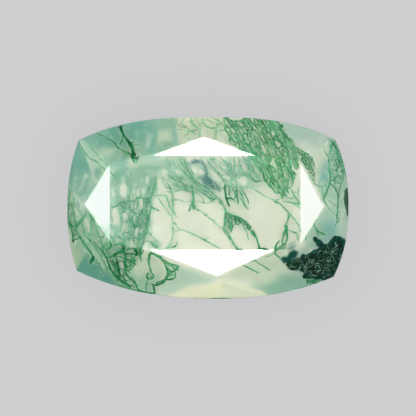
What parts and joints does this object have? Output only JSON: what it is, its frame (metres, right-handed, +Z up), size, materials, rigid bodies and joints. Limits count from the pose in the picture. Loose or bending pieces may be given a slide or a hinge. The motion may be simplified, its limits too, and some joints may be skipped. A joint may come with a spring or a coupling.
{
  "type": "faceted moss agate",
  "caption": "Loose faceted gem: long cushion outline, flat octagonal table, flat base facet, pale green translucent stone with moss-like threads inside.",
  "frame": {"origin": "middle of the outline's bounding box, on the base facet", "axes": "+Z up out of the table facet, +X along the stone's length"},
  "size_m": [0.016, 0.0104, 0.0053],
  "materials": {
    "agate": "polished, translucent pale green with darker green moss inclusions"
  },
  "bodies": {
    "root": {"stone": "agate"}
  },
  "joints": []
}
